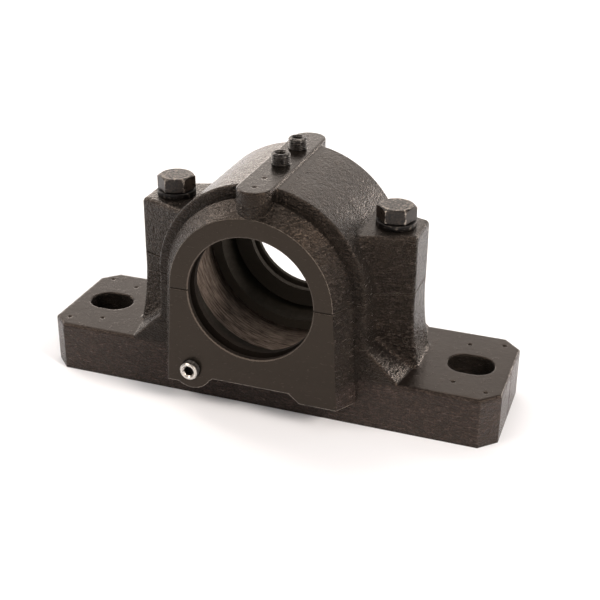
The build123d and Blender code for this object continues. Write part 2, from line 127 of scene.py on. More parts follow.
@dataclass(frozen=True)
class CastingPaint:
    """Semi-gloss black-brown machine enamel over sand-cast grey iron.

    The sand mould leaves a grained and wrinkled skin that the thin paint follows, so reflections
    break up. Hub faces and foot tops were machined before painting and are flatter. The bearing
    seat is bored and left bare: brown, with fine rings, and darker towards the rear, which is
    painted shade. Light and shade are painted into the colour too: lighter paint on the crests of
    the grain and wrinkles and in patches along convex edges is painted highlight, a lighter foot
    below its top is painted bounce light from the floor, lighter inside faces that face along the
    axis are painted fill light, and a lighter ring at the openings' edges is bare iron with a
    painted highlight. Darker paint in concave roots, in the slots and the underside within their
    span, and in the front opening is painted shade.
    seat is bored and left bare: brown, with fine rings. Edges are rubbed lighter in places.

    Sizes in millimetres. A pair of numbers gives the two values of a noise, a cosine or an open
    share between which an effect grows from none to full. gloss_spread is what the wrinkles take
    from the roughness and add to it.
    """

    paint: str = "#0a0908"
    paint_warm: str = "#15120f"
    paint_faced: str = "#1f1c18"
    # Lighter paint on the crests of the grain and wrinkles, a painted highlight
    paint_crest: str = "#292522"
    # Lighter paint on the foot below its top, painted bounce light from the floor
    paint_low: str = "#251f1d"
    # Lighter paint on the crests on the foot below its top, a painted highlight
    paint_low_crest: str = "#403633"
    # Darker paint in the slots and on the underside within their span, painted shade
    paint_slot: str = "#0d0c0a"
    # Darker paint in concave roots, where little is open round a point, painted shade
    paint_root: str = "#080706"
    paint_inside: str = "#1e1d18"
    # Dark colour of the joint, also used as painted shade in the front opening
    paint_joint_and_mouth_shade: str = "#080706"
    # Lighter paint on inside faces that face along the axis, painted fill light that lifts their shade
    turned: str = "#4a463f"
    # Lighter paint in patches along convex edges, a painted highlight
    edge_glint: str = "#aba197"
    bare: str = "#b9a89b"
    bare_dark: str = "#463b34"
    # Lighter ring at the openings' edges: bare iron, lightened further as a painted highlight
    ring_bare_and_glint: str = "#8d8279"
    sheen_tint: str = "#ffe6d2"
    sheen_level: float = 0.28
    roughness: float = 0.2
    gloss_wrinkle: tuple[float, float] = (0.3, 0.7)
    gloss_spread: tuple[float, float] = (-0.06, 0.08)
    inside_dull: float = 0.6
    edge_round: float = 1.3
    # Moulding sand is 0.2 to 0.4 mm. The grain is drawn coarser than that, or it would not show
    grain: float = 0.9
    grain_height: float = 0.3
    wrinkle: float = 3.0
    wrinkle_draw: float = 2.8
    wrinkle_height: float = 0.55
    sway: float = 17.0
    sway_height: float = 0.5
    wall_share: float = 4.0
    wall_slope: tuple[float, float] = (0.15, 0.7)
    crest_peak: tuple[float, float] = (0.99, 1.16)
    top_worked: float = 0.74
    rib_worked: float = 0.7
    worked_relief: float = 0.05
    # Rings of a boring bar are about 0.2 mm apart. They are drawn wider apart, so that they show
    rings_per_mm: float = 0.9
    rings_per_radian: float = 5.0
    ring_height: float = 0.05
    # Where and how strongly the painted highlight along convex edges shows
    edge_bend: tuple[float, float] = (0.93, 0.78)
    glint_wrinkle: tuple[float, float] = (0.2, 0.55)
    glint_open: tuple[float, float] = (0.8, 0.97)
    glint_share: float = 0.9
    root_reach: float = 2.6
    # Where and how strongly the painted shade in concave roots shows
    root_open: tuple[float, float] = (0.88, 0.6)
    root_share: float = 0.85
    cloud_sway: tuple[float, float] = (0.3, 0.7)
    streak_rings: tuple[float, float] = (0.38, 0.66)
    faced_share: float = 0.85
    rim_share: float = 0.3
    # The seat's iron is darkened towards the rear as painted shade
    deep_from: float = -6.0
    deep_share: float = 0.75
    centre_height: float = 70.0
    joint_bevel: float = 0.42
    seat_radius: float = 50.0
    seat_slack: float = 0.5
    seat_half: float = 19.02
    cavity_margin: float = 0.4
    opening_radius: float = 34.0
    rim_middle: float = 0.2
    rim_slack: float = 0.22
    rim_depth: float = 0.6
    mouth_reach: float = 40.5
    face_reach: float = 44.6
    wall_inner: float = 37.6
    wall_face: float = 49.25
    rib_foot: float = 51.5
    rib_half: float = 12.5
    tower_reach: float = 66.0
    foot_top: float = 28.0
    top_slack: float = 0.35
    low_above: float = 1.0
    low_below: float = 3.0
    slot_half: float = 20.0
    slot_end: float = 118.0
    slot_drop: float = 0.5

    def make(self) -> bpy.types.Material:
        """Build the material.

        Returns:
            A material that reads Object coordinates, which are the row frame's, in metres.
        """
        material, tree, shader = new_material("casting_enamel")
        place = self.places(tree)
        skin = self.relief(tree, place)
        soft = add_node(
            tree, "ShaderNodeBevel", {"Radius": self.edge_round * MM}, samples=8
        ).outputs[0]
        colour = self.colour(tree, place, skin, soft)
        painted = add_node(
            tree,
            "ShaderNodeMapRange",
            {
                "Value": skin["wrinkle"],
                "From Min": self.gloss_wrinkle[0],
                "From Max": self.gloss_wrinkle[1],
                "To Min": self.roughness + self.gloss_spread[0],
                "To Max": self.roughness + self.gloss_spread[1],
            },
        ).outputs[0]
        machined = add_node(
            tree, MATH, {0: place["inside"], 1: place["joint"]}, operation="MAXIMUM"
        ).outputs[0]
        gloss = add_node(
            tree, MATH, {0: machined, 1: self.inside_dull, 2: painted}, operation="MULTIPLY_ADD"
        ).outputs[0]
        # Machined bevels are small and crisp, so the softened normal is kept off them
        crisp = add_node(tree, "ShaderNodeNewGeometry").outputs["Normal"]
        base = add_node(tree, MIX, {0: machined, 4: soft, 5: crisp}, data_type="VECTOR").outputs[1]
        bump = add_node(
            tree,
            "ShaderNodeBump",
            {"Strength": 1.0, "Distance": MM, "Height": skin["height"], "Normal": base},
        ).outputs[0]
        tree.links.new(colour, shader.inputs["Base Color"])
        tree.links.new(gloss, shader.inputs["Roughness"])
        tree.links.new(bump, shader.inputs["Normal"])
        shader.inputs["Metallic"].default_value = 0.0
        shader.inputs["IOR"].default_value = 1.5
        shader.inputs["Specular IOR Level"].default_value = self.sheen_level
        shader.inputs["Specular Tint"].default_value = linear(self.sheen_tint)
        return material

    def places(self, tree: bpy.types.NodeTree) -> dict[str, bpy.types.NodeSocket]:
        """Work out where on the castings a point lies.

        Args:
            tree: Tree the nodes go into.

        Returns:
            The coordinates, how open the surroundings are, how far down the foot a point lies, and
            tests that are 1 where they hold and 0 elsewhere. Among them are the surfaces: seat,
            machined inside, front mouth, faced hub ends, bevels of the joint, rims of the openings,
            rib, foot tops and walls of the slots.
        """
        where = add_node(tree, "ShaderNodeTexCoord").outputs["Object"]
        axes = add_node(tree, "ShaderNodeSeparateXYZ", {0: where})
        x, y, z = axes.outputs["X"], axes.outputs["Y"], axes.outputs["Z"]
        side = add_node(tree, MATH, {0: x}, operation="ABSOLUTE").outputs[0]
        along = add_node(tree, MATH, {0: y}, operation="ABSOLUTE").outputs[0]
        rise = add_node(
            tree, MATH, {0: z, 1: self.centre_height * MM}, operation="SUBTRACT"
        ).outputs[0]
        across = add_node(tree, "ShaderNodeCombineXYZ", {"X": x, "Y": rise}).outputs[0]
        radius = add_node(
            tree, "ShaderNodeVectorMath", {0: across}, operation="LENGTH"
        ).outputs["Value"]
        place = {
            "where": where,
            "along": y,
            "turn": add_node(tree, MATH, {0: rise, 1: x}, operation="ARCTAN2").outputs[0],
            "open": add_node(
                tree, "ShaderNodeAmbientOcclusion", {"Distance": self.root_reach * MM}, samples=6
            ).outputs["AO"],
            "low": add_node(
                tree,
                "ShaderNodeMapRange",
                {
                    "Value": z,
                    "From Min": (self.foot_top + self.low_above) * MM,
                    "From Max": (self.foot_top - self.low_below) * MM,
                },
            ).outputs[0],
        }
        # A coordinate against one size
        for name, value, size, operation in (
            ("mid_width", along, self.seat_half, "LESS_THAN"),
            ("in_cavity", radius, self.seat_radius + self.cavity_margin, "LESS_THAN"),
            ("behind_wall", along, self.wall_inner, "LESS_THAN"),
            ("in_opening", radius, self.mouth_reach, "LESS_THAN"),
            ("behind_face", along, self.wall_face, "LESS_THAN"),
            ("front_half", y, 0.0, "LESS_THAN"),
            ("before_face", along, self.wall_face, "GREATER_THAN"),
            ("under_rib", rise, self.face_reach, "LESS_THAN"),
            ("near_face", along, self.wall_face - self.rim_depth, "GREATER_THAN"),
            ("past_tower", side, self.tower_reach, "GREATER_THAN"),
            ("high", rise, self.rib_foot, "GREATER_THAN"),
            ("central", side, self.rib_half, "LESS_THAN"),
            ("narrow", along, self.slot_half, "LESS_THAN"),
            ("short", side, self.slot_end, "LESS_THAN"),
            ("under_top", z, self.foot_top - self.slot_drop, "LESS_THAN"),
        ):
            place[name] = add_node(
                tree, MATH, {0: value, 1: size * MM}, operation=operation
            ).outputs[0]
        # A coordinate close to one size
        for name, value, size, slack in (
            ("on_seat", radius, self.seat_radius, self.seat_slack),
            ("on_rim", radius, self.opening_radius + self.rim_middle, self.rim_slack),
            ("on_top", z, self.foot_top, self.top_slack),
            ("joint", z, self.centre_height, self.joint_bevel),
        ):
            place[name] = add_node(
                tree, MATH, {0: value, 1: size * MM, 2: slack * MM}, operation="COMPARE"
            ).outputs[0]
        # Two tests together, or either of them
        for name, first, second, operation in (
            ("seat", "on_seat", "mid_width", "MULTIPLY"),
            ("cavity", "in_cavity", "behind_wall", "MULTIPLY"),
            ("throat", "in_opening", "behind_face", "MULTIPLY"),
            ("inside", "cavity", "throat", "MAXIMUM"),
            # Front half of the throat, which gets painted shade
            ("mouth", "throat", "front_half", "MULTIPLY"),
            ("faced", "before_face", "under_rib", "MULTIPLY"),
            ("rim", "on_rim", "near_face", "MULTIPLY"),
            ("rib", "high", "central", "MULTIPLY"),
            ("foot_top", "past_tower", "on_top", "MULTIPLY"),
            ("slot_plan", "narrow", "short", "MULTIPLY"),
            ("slot", "slot_plan", "under_top", "MULTIPLY"),
        ):
            place[name] = add_node(
                tree, MATH, {0: place[first], 1: place[second]}, operation=operation
            ).outputs[0]
        return place

    def relief(
        self, tree: bpy.types.NodeTree, place: dict[str, bpy.types.NodeSocket]
    ) -> dict[str, bpy.types.NodeSocket]:
        """Work out the height of the surface.

        Args:
            tree: Tree the nodes go into.
            place: Coordinates and surfaces from places.

        Returns:
            The noises and the height in millimetres: sand grain, wrinkles drawn out level and a slow
            sway, all stronger on upright walls, where the pattern dragged the sand, and weaker on
            machined surfaces, and fine rings where the boring bar went round.
        """
        worked = place["inside"]
        for surface, share in (
            ("faced", 1.0),
            ("rib", self.rib_worked),
            ("foot_top", self.top_worked),
        ):
            part = add_node(tree, MATH, {0: place[surface], 1: share}, operation="MULTIPLY").outputs[0]
            worked = add_node(tree, MATH, {0: worked, 1: part}, operation="MAXIMUM").outputs[0]
        rough_cast = add_node(
            tree, "ShaderNodeMapRange", {"Value": worked, "To Min": 1.0, "To Max": self.worked_relief}
        ).outputs[0]
        drawn = add_node(
            tree,
            "ShaderNodeVectorMath",
            {0: place["where"], 1: (1.0, 1.0, self.wrinkle_draw)},
            operation="MULTIPLY",
        ).outputs[0]
        skin = {}
        cast = 0.0
        for name, vector, size, depth, form in (
            ("grain", place["where"], self.grain, self.grain_height, {"Detail": 2.0, "Roughness": 0.6}),
            ("wrinkle", drawn, self.wrinkle, self.wrinkle_height, {"Detail": 2.0, "Distortion": 0.8}),
            ("sway", place["where"], self.sway, self.sway_height, {"Detail": 1.0}),
        ):
            skin[name] = add_node(
                tree, NOISE, {"Vector": vector, "Scale": 1000 / size, **form}
            ).outputs[0]
            cast = add_node(
                tree, MATH, {0: skin[name], 1: depth, 2: cast}, operation="MULTIPLY_ADD"
            ).outputs[0]
        normal = add_node(tree, "ShaderNodeNewGeometry").outputs["Normal"]
        rising = add_node(tree, "ShaderNodeSeparateXYZ", {0: normal}).outputs["Z"]
        lying = add_node(tree, MATH, {0: rising}, operation="ABSOLUTE").outputs[0]
        dragged = add_node(
            tree,
            "ShaderNodeMapRange",
            {
                "Value": lying,
                "From Min": self.wall_slope[0],
                "From Max": self.wall_slope[1],
                "To Min": self.wall_share,
                "To Max": 1.0,
            },
        ).outputs[0]
        for share in (dragged, rough_cast):
            cast = add_node(tree, MATH, {0: cast, 1: share}, operation="MULTIPLY").outputs[0]
        round_bore = add_node(
            tree, MATH, {0: place["turn"], 1: self.rings_per_radian}, operation="MULTIPLY"
        ).outputs[0]
        down_bore = add_node(
            tree, MATH, {0: place["along"], 1: 1000 * self.rings_per_mm}, operation="MULTIPLY"
        ).outputs[0]
        bore = add_node(tree, "ShaderNodeCombineXYZ", {"X": round_bore, "Y": down_bore}).outputs[0]
        skin["rings"] = add_node(
            tree, NOISE, {"Vector": bore, "Scale": 1.0, "Detail": 4.0, "Roughness": 0.75}
        ).outputs[0]
        rings_mm = add_node(
            tree, MATH, {0: skin["rings"], 1: self.ring_height}, operation="MULTIPLY"
        ).outputs[0]
        skin["height"] = add_node(
            tree, MATH, {0: rings_mm, 1: place["inside"], 2: cast}, operation="MULTIPLY_ADD"
        ).outputs[0]
        # Crests of the grain and wrinkles, where the colour gets a painted highlight
        peak = add_node(tree, MATH, {0: skin["grain"], 1: skin["wrinkle"]}, operation="ADD").outputs[0]
        crest = add_node(
            tree,
            "ShaderNodeMapRange",
            {"Value": peak, "From Min": self.crest_peak[0], "From Max": self.crest_peak[1]},
        ).outputs[0]
        skin["crest"] = add_node(
            tree, MATH, {0: crest, 1: rough_cast}, operation="MULTIPLY"
        ).outputs[0]
        return skin

    def colour(
        self,
        tree: bpy.types.NodeTree,
        place: dict[str, bpy.types.NodeSocket],
        skin: dict[str, bpy.types.NodeSocket],
        soft: bpy.types.NodeSocket,
    ) -> bpy.types.NodeSocket:
        """Work out the colour of the surface.

        Args:
            tree: Tree the nodes go into.
            place: Coordinates and surfaces from places.
            skin: Noises from relief.
            soft: Normal with softened edges. Where it turns away from the true normal, an edge is
            near, and the paint there is lighter in patches, a painted highlight.

        Returns:
            The colour. Each surface's paint or iron is laid over the one before it by its share.
        """
        normal = add_node(tree, "ShaderNodeNewGeometry").outputs["Normal"]
        bend = add_node(
            tree, "ShaderNodeVectorMath", {0: soft, 1: normal}, operation="DOT_PRODUCT"
        ).outputs["Value"]
        seat_end = (self.deep_from * MM, self.seat_half * MM)
        share = {}
        for name, value, (start, end), most in (
            ("edge", bend, self.edge_bend, 1.0),
            ("patchy", skin["wrinkle"], self.glint_wrinkle, self.glint_share),
            ("outer", place["open"], self.glint_open, 1.0),
            # Painted shade in concave roots, where the occlusion is low
            ("root", place["open"], self.root_open, self.root_share),
            ("cloud", skin["sway"], self.cloud_sway, 1.0),
            ("streak", skin["rings"], self.streak_rings, 1.0),
            # Painted shade on the seat, growing towards the rear
            ("deep", place["along"], seat_end, self.deep_share),
        ):
            share[name] = add_node(
                tree,
                "ShaderNodeMapRange",
                {"Value": value, "From Min": start, "From Max": end, "To Max": most},
            ).outputs[0]
        facing = add_node(tree, "ShaderNodeSeparateXYZ", {0: normal}).outputs["Y"]
        level = add_node(tree, MATH, {0: facing}, operation="ABSOLUTE").outputs[0]
        # Painted highlight in patches along convex edges, kept off the machined inside
        rub = add_node(
            tree, MATH, {0: share["outer"], 1: place["inside"]}, operation="SUBTRACT", use_clamp=True
        ).outputs[0]
        for part in (share["edge"], share["patchy"]):
            rub = add_node(tree, MATH, {0: rub, 1: part}, operation="MULTIPLY").outputs[0]
        for name, first, second in (
            # Painted highlight on the crests on the foot below its top
            ("low_crest", place["low"], skin["crest"]),
            ("faced", place["faced"], self.faced_share),
            # Painted fill light on inside faces that face along the axis
            ("shoulder", level, place["inside"]),
            ("rim", place["rim"], self.rim_share),
        ):
            share[name] = add_node(tree, MATH, {0: first, 1: second}, operation="MULTIPLY").outputs[0]
        iron = linear(self.bare_dark)
        for part, over in (
            (share["streak"], linear(self.bare)),
            # Seat iron darkened towards the rear, painted shade
            (share["deep"], linear(self.paint_inside)),
        ):
            iron = add_node(tree, MIX, {0: part, 6: iron, 7: over}, data_type="RGBA").outputs[2]
        colour = linear(self.paint)
        for part, over in (
            (share["cloud"], linear(self.paint_warm)),
            # Painted bounce light from the floor on the foot below its top
            (place["low"], linear(self.paint_low)),
            # Painted highlight on the crests of the grain and wrinkles
            (skin["crest"], linear(self.paint_crest)),
            # Painted highlight on the crests on the foot below its top
            (share["low_crest"], linear(self.paint_low_crest)),
            # Painted shade in the slots and on the underside within their span
            (place["slot"], linear(self.paint_slot)),
            # Painted shade in concave roots
            (share["root"], linear(self.paint_root)),
            (share["faced"], linear(self.paint_faced)),
            (place["inside"], linear(self.paint_inside)),
            # Painted fill light on inside faces that face along the axis
            (share["shoulder"], linear(self.turned)),
            # Painted shade in the front opening
            (place["mouth"], linear(self.paint_joint_and_mouth_shade)),
            # Painted highlight along convex edges
            (rub, linear(self.edge_glint)),
            # Bare iron ring at the openings' edges with a painted highlight
            (share["rim"], linear(self.ring_bare_and_glint)),
            (place["joint"], linear(self.paint_joint_and_mouth_shade)),
            (place["seat"], iron),
        ):
            colour = add_node(tree, MIX, {0: part, 6: colour, 7: over}, data_type="RGBA").outputs[2]
        return colour


@dataclass(frozen=True)
class TurnedSteel:
    """Carbon steel, turned or rolled, with a thin dark oxide that wears off at its edges.

    The oxide is dark and half matt. Where the mesh attribute called wear is high, and the patches
    of the noise allow it, the bare steel shows bright.

    Sizes in millimetres. A pair of numbers gives the values between which an effect grows.
    """

    name: str
    oxide: str
    oxide_light: str
    steel: str = "#a59c93"
    roughness: float = 0.42
    gloss_patch: tuple[float, float] = (0.3, 0.7)
    gloss_spread: float = 0.1
    bare_wear: tuple[float, float] = (0.45, 0.85)
    patch: float = 2.2
    blotch_patch: tuple[float, float] = (0.36, 0.64)
    spread: float = 0.9
    # Tool marks of about 0.1 mm are drawn wider, so that they show
    scratch: float = 0.5
    height: float = 0.03
    edge_round: float = 0.2
    oxide_metal: float = 0.15
    sheen_level: float = 0.5

    def make(self) -> bpy.types.Material:
        """Build the material.

        Returns:
            A metal material that reads Object coordinates and the attribute called wear.
        """
        material, tree, shader = new_material(self.name)
        where = add_node(tree, "ShaderNodeTexCoord").outputs["Object"]
        wear = add_node(tree, "ShaderNodeAttribute", attribute_name="wear").outputs["Fac"]
        patch = add_node(
            tree,
            NOISE,
            {"Vector": where, "Scale": 1000 / self.patch, "Detail": 4.0, "Roughness": 0.65},
        ).outputs[0]
        fine = add_node(
            tree, NOISE, {"Vector": where, "Scale": 1000 / self.scratch, "Detail": 2.0}
        ).outputs[0]
        spread = add_node(
            tree, MATH, {0: patch, 1: self.spread, 2: -0.5 * self.spread}, operation="MULTIPLY_ADD"
        ).outputs[0]
        bare_raw = add_node(tree, MATH, {0: wear, 1: spread}, operation="ADD").outputs[0]
        bare = add_node(
            tree,
            "ShaderNodeMapRange",
            {"Value": bare_raw, "From Min": self.bare_wear[0], "From Max": self.bare_wear[1]},
        ).outputs[0]
        blotch = add_node(
            tree,
            "ShaderNodeMapRange",
            {"Value": patch, "From Min": self.blotch_patch[0], "From Max": self.blotch_patch[1]},
        ).outputs[0]
        dark = add_node(
            tree, MIX, {0: blotch, 6: linear(self.oxide), 7: linear(self.oxide_light)}, data_type="RGBA"
        ).outputs[2]
        colour = add_node(
            tree, MIX, {0: bare, 6: dark, 7: linear(self.steel)}, data_type="RGBA"
        ).outputs[2]
        gloss = add_node(
            tree,
            "ShaderNodeMapRange",
            {
                "Value": patch,
                "From Min": self.gloss_patch[0],
                "From Max": self.gloss_patch[1],
                "To Min": self.roughness - self.gloss_spread,
                "To Max": self.roughness + self.gloss_spread,
            },
        ).outputs[0]
        soft = add_node(
            tree, "ShaderNodeBevel", {"Radius": self.edge_round * MM}, samples=6
        ).outputs[0]
        bump = add_node(
            tree,
            "ShaderNodeBump",
            {"Strength": 1.0, "Distance": self.height * MM, "Height": fine, "Normal": soft},
        ).outputs[0]
        metal = add_node(
            tree, "ShaderNodeMapRange", {"Value": bare, "To Min": self.oxide_metal, "To Max": 1.0}
        ).outputs[0]
        tree.links.new(colour, shader.inputs["Base Color"])
        tree.links.new(metal, shader.inputs["Metallic"])
        tree.links.new(gloss, shader.inputs["Roughness"])
        tree.links.new(bump, shader.inputs["Normal"])
        shader.inputs["Specular IOR Level"].default_value = self.sheen_level
        return material


def closed_surface(
    name: str,
    rows: np.ndarray,
    start: np.ndarray,
    end: np.ndarray,
    wear: np.ndarray,
    smooth_angle: float = 32.0,
) -> bpy.types.Object:
    """Make a closed mesh from loops of points that follow one another, with a pole at each end.

    Args:
        name: Name of the object and its mesh.
        rows: Points in millimetres, shaped loops by points by 3. Each loop is closed.
        start: Pole before the first loop.
        end: Pole after the last loop.
        wear: Wear of each point from 0 to 1, shaped loops by points.
        smooth_angle: Edges that bend more than this many degrees stay sharp.

    Returns:
        The object, linked to the scene. Faces join point j and j + 1 of loop i with those of loop
        i + 1. Their order is turned round if the enclosed volume, a sixth of the sum of the triple
        products of the triangles' corners, comes out negative.
    """
    loops, around, _ = rows.shape
    points = np.vstack([rows.reshape(-1, 3), start[None, :], end[None, :]]) * MM
    i, j = np.meshgrid(np.arange(loops - 1), np.arange(around), indexing="ij")
    following = (j + 1) % around
    here, there = i * around, (i + 1) * around
    quads = np.stack([here + j, there + j, there + following, here + following], axis=-1)
    quads = quads.reshape(-1, 4)
    ring = np.arange(around)
    after = (ring + 1) % around
    start_pole, end_pole = np.full(around, loops * around), np.full(around, loops * around + 1)
    first = np.stack([start_pole, ring, after], axis=-1)
    base = (loops - 1) * around
    last = np.stack([end_pole, base + after, base + ring], axis=-1)
    triangles = np.vstack([quads[:, [0, 1, 2]], quads[:, [0, 2, 3]], first, last])
    a, b, c = (points[triangles[:, k]] for k in range(3))
    if np.einsum("ij,ij->", a, np.cross(b, c)) < 0:
        quads, first, last = quads[:, ::-1], first[:, ::-1], last[:, ::-1]
    mesh = bpy.data.meshes.new(name)
    mesh.from_pydata(points.tolist(), [], quads.tolist() + first.tolist() + last.tolist())
    mesh.polygons.foreach_set("use_smooth", np.ones(len(mesh.polygons), dtype=bool))
    mesh.set_sharp_from_angle(angle=math.radians(smooth_angle))
    at_poles = [wear[0].mean(), wear[-1].mean()]
    amount = np.concatenate([wear.reshape(-1), at_poles]).astype(np.float32)
    mesh.attributes.new("wear", "FLOAT", "POINT").data.foreach_set("value", amount)
    mesh.update()
    made = bpy.data.objects.new(name, mesh)
    bpy.context.scene.collection.objects.link(made)
    return made


def turned_surface(
    name: str,
    loops: list[Loop],
    angle: np.ndarray,
    foot: tuple[float, float, float],
    outward: tuple[float, float, float],
    ends: tuple[float, float],
    smooth_angle: float = 32.0,
) -> bpy.types.Object:
    """Make a closed surface round an axis.

    Args:
        name: Name of the object and its mesh.
        loops: Radius, height along the axis and wear of each loop, as numbers or one per angle.
        angle: Directions of a loop's points in radians.
        foot: Point of the axis where the height is 0.
        outward: Direction of the axis, which is square to +X.
        ends: Heights of the poles before the first loop and after the last.
        smooth_angle: Edges that bend more than this many degrees stay sharp.

    Returns:
        The object. A point is the foot plus the height along the axis, plus the radius times the
        angle's cosine along +X and its sine along the axis crossed with +X.
    """
    radius, height, wear = (
        np.array([np.broadcast_to(loop[k], angle.shape) for loop in loops]) for k in range(3)
    )
    origin, axis, right = np.array(foot), np.array(outward), np.array((1.0, 0.0, 0.0))
    over = np.cross(axis, right)
    rows = (
        origin
        + (radius * np.cos(angle))[..., None] * right
        + (radius * np.sin(angle))[..., None] * over
        + height[..., None] * axis
    )
    start, end = (origin + at * axis for at in ends)
    return closed_surface(name, rows, start, end, wear, smooth_angle)


def hexagon(angle: np.ndarray, flats: float, corner: float = 0.0) -> np.ndarray:
    """Distance from the middle of a hexagon to its outline.

    Args:
        angle: Directions in radians.
        flats: Width across the flats.
        corner: Direction of one corner in radians.

    Returns:
        Half the width across flats over the cosine of the angle from the nearest flat's middle.
    """
    from_flat = np.mod(angle - corner, math.pi / 3) - math.pi / 6
    return flats / 2 / np.cos(from_flat)


def thread_radius(
    radius: float, pitch: float, depth: float, place: float, angle: np.ndarray
) -> np.ndarray:
    """Radius of a right-hand screw thread.

    Args:
        radius: Crest radius.
        pitch: Distance between crests.
        depth: Depth of the root under the crest.
        place: Distance along the axis.
        angle: Direction round the axis in radians.

    Returns:
        The crest radius less the depth times a triangle wave of place over pitch less the turn,
        with its crests and roots cut flat.
    """
    flat = 0.14
    phase = np.mod(place / pitch - angle / (2 * math.pi), 1.0)
    wave = np.abs(2 * phase - 1)
    return radius - depth * np.clip((wave - flat) / (1 - 2 * flat), 0, 1)


@dataclass
class Castings:
    """The base and the cap, whose CAD meshes stay and get the enamel."""

    finish: CastingPaint = CastingPaint()

    def dress(self) -> None:
        """Give both castings the paint."""
        material = self.finish.make()
        for node in ("base", "cap"):
            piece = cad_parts[node]
            piece.data.materials.clear()
            piece.data.materials.append(material)
            log.info("dressed %s in %s", node, material.name)


@dataclass
class CapBolt:
    """Hexagon head bolt through the cap into the base: turned crown, washer face, rolled thread."""

    node: str
    x: float
    corner: float
    seat: float = 104.5
    flats: float = 18.0
    head: float = 8.0
    crown_share: float = 0.95
    crown_slope: float = math.tan(math.radians(30))
    first_ring: float = 0.4
    dish_depth: float = 0.1
    dish_share: float = 0.78
    dish_width: float = 0.35
    face_radius: float = 8.3
    face_height: float = 0.6
    shank: float = 6.0
    length: float = 55.0
    thread_length: float = 30.0
    thread_share: float = 0.54
    pitch: float = 1.75
    tip_bevel: float = 1.0
    around: int = 96
    thread_steps: int = 7
    corner_width: float = 0.07
    top_wear: float = 0.4
    top_rim_wear: float = 0.15
    crown_wear: float = 0.28
    crown_corner_wear: float = 0.3
    flat_wear: float = 0.12
    flat_rim_wear: float = 0.12
    flat_corner_wear: float = 0.5
    thread_wear: float = 0.35
    crest_depth: float = 0.2
    shank_wear: float = 0.2
    hidden_wear: float = 0.1

    def head_loops(self, angle: np.ndarray) -> list[Loop]:
        """Work out the head's loops, from the middle of its top to its washer face.

        Args:
            angle: Directions of a loop's points in radians.

        Returns:
            Radius, height and wear of each loop. A radius is the smaller of the ring's and the
            hexagon's, and the height drops by the crown's slope for each millimetre outside the
            crown circle, which cuts the flats in arcs. The top has a shallow ring where the tool
            ran out, a bell curve of the radius.
        """
        corner = math.radians(self.corner)
        outline = hexagon(angle, self.flats, corner)
        crown = self.crown_share * self.flats / 2
        reach = self.flats / 2 / math.cos(math.pi / 6)
        from_corner = np.abs(np.mod(angle - corner + math.pi / 6, math.pi / 3) - math.pi / 6)
        on_corner = np.exp(-((from_corner / self.corner_width) ** 2))
        loops = []
        for ring in np.linspace(self.first_ring, crown, 16):
            dish = self.dish_depth * math.exp(-(((ring - self.dish_share * crown) / self.dish_width) ** 2))
            wear = self.top_wear + self.top_rim_wear * (ring / crown) ** 4
            loops.append((ring, self.head - dish, wear))
        for ring in np.linspace(crown, reach, 9)[1:]:
            radius = np.minimum(ring, outline)
            height = self.head - (radius - crown) * self.crown_slope
            wear = self.crown_wear + self.crown_corner_wear * on_corner
            loops.append((radius, height, wear))
        rim = loops[-1][1]
        # Down the flats, with a loop close to each end that keeps its edge crisp
        for share in (0.06, 0.25, 0.5, 0.75, 0.94, 1.0):
            height = rim * (1 - share) + self.face_height * share
            wear = self.flat_wear + self.flat_corner_wear * on_corner
            if share < 0.1:
                wear = wear + self.flat_rim_wear
            loops.append((outline, height, wear))
        for share in (0.5, 1.0):
            radius = outline * (1 - share) + self.face_radius * share
            loops.append((radius, self.face_height, self.hidden_wear))
        loops.append((self.face_radius, 0.0, self.hidden_wear))
        return loops

    def shank_loops(self, angle: np.ndarray) -> list[Loop]:
        """Work out the shank's loops, from under the head to the bevelled tip of the thread.

        Args:
            angle: Directions of a loop's points in radians.

        Returns:
            Radius, height and wear of each loop.
        """
        plain = self.length - self.thread_length
        loops = [(self.shank, -drop, self.shank_wear) for drop in (0.0, 1.0, 12.0, plain)]
        tip = self.shank - self.tip_bevel
        for drop in np.arange(plain + 0.2, self.length, self.pitch / self.thread_steps):
            depth = self.thread_share * self.pitch * min(1.0, (drop - plain) / self.pitch)
            radius = thread_radius(self.shank, self.pitch, depth, -drop, angle)
            crest = radius > self.shank - self.crest_depth
            radius = np.minimum(radius, tip + max(0.0, self.length - drop))
            loops.append((radius, -drop, self.thread_wear * crest))
        loops.append((tip - 0.1, -self.length, self.shank_wear))
        return loops

    def build(self) -> bpy.types.Object:
        """Build the bolt as one closed surface round its axis.

        Returns:
            The bolt.
        """
        turn = np.linspace(0, 2 * math.pi, self.around, endpoint=False)
        angle = math.radians(self.corner) + turn
        loops = self.head_loops(angle) + self.shank_loops(angle)
        foot = (self.x, 0.0, self.seat)
        ends = (self.head, -self.length)
        bolt = turned_surface(f"{self.node}_steel", loops, angle, foot, (0.0, 0.0, 1.0), ends)
        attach(bolt, "root")
        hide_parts(self.node)
        log.info("built %s with %d faces", bolt.name, len(bolt.data.polygons))
        return bolt


